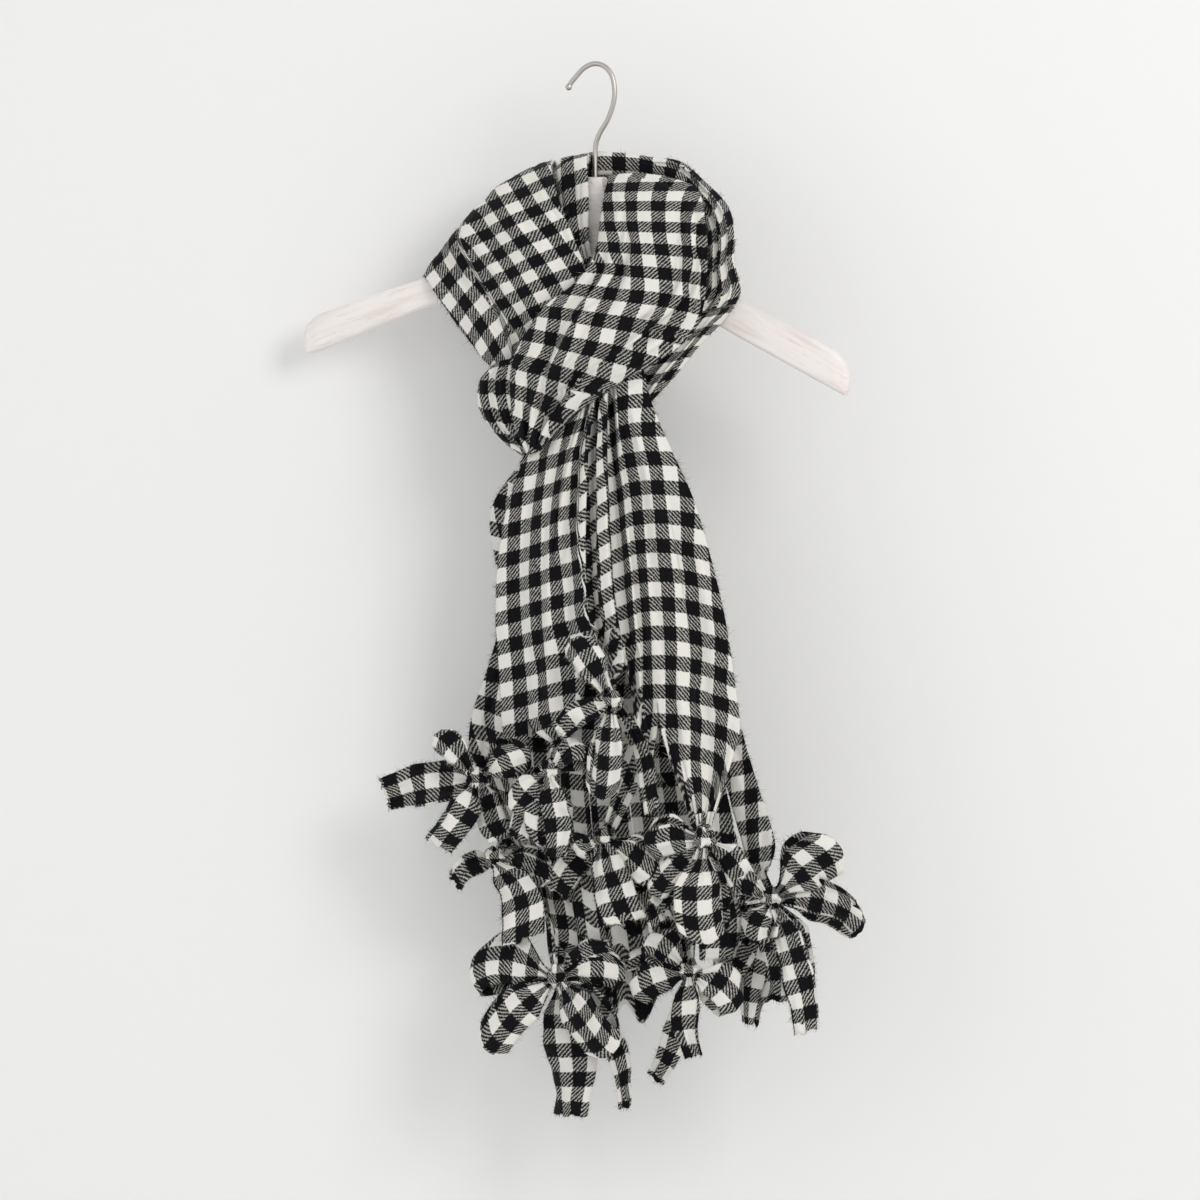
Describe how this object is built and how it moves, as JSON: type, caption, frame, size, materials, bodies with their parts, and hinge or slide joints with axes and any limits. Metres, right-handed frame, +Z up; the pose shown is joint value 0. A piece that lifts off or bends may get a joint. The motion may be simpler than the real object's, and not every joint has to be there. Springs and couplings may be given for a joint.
{
  "type": "ribbon stole on a clothes hanger",
  "caption": "Long gingham flannel stole, looped round the neck of a wooden clothes hanger, its ends cut into strips that are tied in bows.",
  "frame": {"origin": "the inside of the hook at its top, where a rod or a wall hook holds the hanger", "axes": "+Z up, +X along the hanger's bar to the right as the knot is faced, -Y out of the front, towards a viewer"},
  "size_m": [0.4651, 0.1271, 0.819],
  "materials": {
    "gingham_flannel": "brushed, matte, black and ivory checks",
    "washed_wood": "white-washed, matte",
    "nickel": "satin"
  },
  "bodies": {
    "root": {"hanger_bar": "washed_wood", "hanger_hook": "nickel", "neck_back": "gingham_flannel", "left_drape": "gingham_flannel", "left_inner": "gingham_flannel", "loop_band": "gingham_flannel", "loop_fold": "gingham_flannel", "right_shoulder": "gingham_flannel", "loop_return": "gingham_flannel", "front_tail": "gingham_flannel", "back_tail": "gingham_flannel", "bow_far_left_knot": "gingham_flannel", "bow_far_left_lead": "gingham_flannel", "bow_far_left_loop_right": "gingham_flannel", "bow_far_left_loop_left": "gingham_flannel", "bow_far_left_tail_left": "gingham_flannel", "bow_far_left_tail_down": "gingham_flannel", "bow_left_knot": "gingham_flannel", "bow_left_lead": "gingham_flannel", "bow_left_loop_right": "gingham_flannel", "bow_left_loop_left": "gingham_flannel", "bow_left_tail_down": "gingham_flannel", "bow_centre_knot": "gingham_flannel", "bow_centre_lead": "gingham_flannel", "bow_centre_loop_left": "gingham_flannel", "bow_centre_loop_down": "gingham_flannel", "bow_centre_tail_right": "gingham_flannel", "bow_centre_tail_left": "gingham_flannel", "bow_right_knot": "gingham_flannel", "bow_right_lead": "gingham_flannel", "bow_right_loop_left": "gingham_flannel", "bow_right_loop_down": "gingham_flannel", "bow_right_tail_left": "gingham_flannel", "bow_right_tail_right": "gingham_flannel", "bow_low_far_left_knot": "gingham_flannel", "bow_low_far_left_lead": "gingham_flannel", "bow_low_far_left_loop_right": "gingham_flannel", "bow_low_far_left_tail_down": "gingham_flannel", "bow_low_far_left_tail_left": "gingham_flannel", "bow_low_left_knot": "gingham_flannel", "bow_low_left_lead": "gingham_flannel", "bow_low_left_loop_left": "gingham_flannel", "bow_low_left_loop_down_left": "gingham_flannel", "bow_low_left_loop_down_right": "gingham_flannel", "bow_low_left_tail_down": "gingham_flannel", "bow_low_left_tail_right": "gingham_flannel", "bow_low_right_knot": "gingham_flannel", "bow_low_right_lead": "gingham_flannel", "bow_low_right_loop_left": "gingham_flannel", "bow_low_right_loop_right": "gingham_flannel", "bow_low_right_tail_left": "gingham_flannel", "bow_low_right_tail_right": "gingham_flannel", "bow_low_far_right_knot": "gingham_flannel", "bow_low_far_right_lead": "gingham_flannel", "bow_low_far_right_loop_up": "gingham_flannel", "bow_low_far_right_loop_right": "gingham_flannel", "bow_low_far_right_tail_left": "gingham_flannel", "bow_low_far_right_tail_right": "gingham_flannel", "bow_low_centre_knot": "gingham_flannel", "bow_low_centre_lead": "gingham_flannel"}
  },
  "joints": []
}
